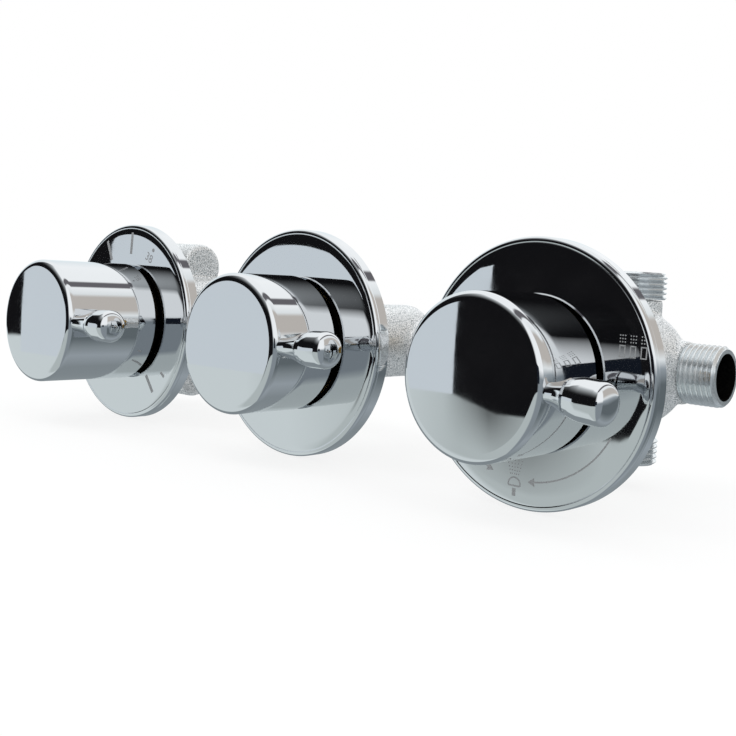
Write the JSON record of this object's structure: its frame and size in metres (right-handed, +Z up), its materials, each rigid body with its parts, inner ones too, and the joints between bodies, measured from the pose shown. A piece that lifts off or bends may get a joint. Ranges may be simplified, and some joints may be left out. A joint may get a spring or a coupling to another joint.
{
  "type": "thermostatic shower valve",
  "caption": "Concealed thermostatic shower valve for a panel: temperature, flow and diverter knobs with side levers and round plates on cast bodies with pipe threads.",
  "frame": {"origin": "on the axis of the middle control, in the plane of the wall that the cover plates rest on", "axes": "+X along the row to the right as seen from the front, +Y into the wall, +Z up"},
  "size_m": [0.3068, 0.1286, 0.085],
  "materials": {
    "chrome": "bright chrome plating on brass, polished",
    "cast_brass": "nickel-chrome plated casting left rough from the sand, threads bright",
    "brass": "turned brass, bare",
    "rubber": "black nitrile rubber",
    "plastic_white": "moulded acetal, natural white",
    "plastic_blue": "moulded acetal, blue",
    "plastic_orange": "moulded acetal, orange",
    "spring_steel": "stainless spring wire",
    "screw_steel": "stainless screw",
    "copper": "copper capsule",
    "ceramic": "lapped alumina ceramic"
  },
  "bodies": {
    "valve_body": {"temp_cover_plate": "chrome", "flow_cover_plate": "chrome", "diverter_cover_plate": "chrome", "plate_gaskets": "rubber", "plate_nuts": "brass", "neck_washers": "rubber", "panel_lock_nuts": "brass", "thermostat_housing": "cast_brass", "flow_housing": "cast_brass", "diverter_housing": "cast_brass", "left_bridge_tube": "brass", "right_bridge_tube": "brass", "bridge_seals": "rubber", "bonnet_seals": "rubber", "thermostat_bonnet": "brass", "temp_stop_ring": "plastic_orange", "return_spring": "spring_steel", "thermostat_cage": "plastic_white", "cage_seals": "rubber", "hot_check_body": "plastic_white", "hot_check_spring": "spring_steel", "cold_check_body": "plastic_white", "cold_check_spring": "spring_steel", "inlet_strainers": "spring_steel", "flow_bonnet": "brass", "flow_fixed_disc": "ceramic", "flow_seat_seal": "rubber", "diverter_bonnet": "brass", "diverter_sleeve": "plastic_white", "diverter_port_seals": "rubber"},
    "temp_knob": {"temp_knob_shell": "chrome", "temp_knob_hub": "brass", "temp_hub_screw": "screw_steel", "temp_lever_stem": "chrome", "temp_lever_grip": "chrome", "temp_spindle": "brass", "temp_spindle_seals": "rubber"},
    "thermostat_slide": {"temp_pusher": "plastic_white", "overload_spring": "spring_steel", "wax_element": "copper", "mixing_shuttle": "plastic_white"},
    "flow_knob": {"flow_knob_shell": "chrome", "flow_knob_hub": "brass", "flow_hub_screw": "screw_steel", "flow_lever_stem": "chrome", "flow_lever_grip": "chrome", "flow_spindle": "brass", "flow_spindle_seals": "rubber", "flow_moving_disc": "ceramic"},
    "diverter_knob": {"diverter_knob_shell": "chrome", "diverter_knob_hub": "brass", "diverter_hub_screw": "screw_steel", "diverter_lever_stem": "chrome", "diverter_lever_grip": "chrome", "diverter_spindle": "brass", "diverter_spindle_seals": "rubber", "diverter_drum": "plastic_white"},
    "hot_poppet": {"hot_check_poppet": "plastic_blue"},
    "cold_poppet": {"cold_check_poppet": "plastic_blue"}
  },
  "joints": [
    {"name": "temp_turn", "type": "hinge", "parent": "valve_body", "child": "temp_knob", "pos_m": [-0.106, 0, 0], "axis": [0, -1, 0], "range_deg": [-120, 120]},
    {"name": "thermostat_travel", "type": "slide", "parent": "valve_body", "child": "thermostat_slide", "axis": [0, 1, 0], "range_m": [-0.0008, 0.0008], "deforming": ["return_spring"]},
    {"name": "flow_turn", "type": "hinge", "parent": "valve_body", "child": "flow_knob", "pos_m": [0, 0, 0], "axis": [0, -1, 0], "range_deg": [0, 90]},
    {"name": "diverter_turn", "type": "hinge", "parent": "valve_body", "child": "diverter_knob", "pos_m": [0.106, 0, 0], "axis": [0, -1, 0], "continuous": true},
    {"name": "hot_check_lift", "type": "slide", "parent": "valve_body", "child": "hot_poppet", "axis": [1, 0, 0], "range_m": [0, 0.003], "stiffness_N_per_m": 60, "springref_m": -0.001, "deforming": ["hot_check_spring"]},
    {"name": "cold_check_lift", "type": "slide", "parent": "valve_body", "child": "cold_poppet", "axis": [1, 0, 0], "range_m": [0, 0.003], "stiffness_N_per_m": 60, "springref_m": -0.001, "deforming": ["cold_check_spring"]}
  ],
  "couplings": [
    {"joint": "thermostat_travel", "follows": "temp_turn", "m_per_rad": 0.00038}
  ]
}
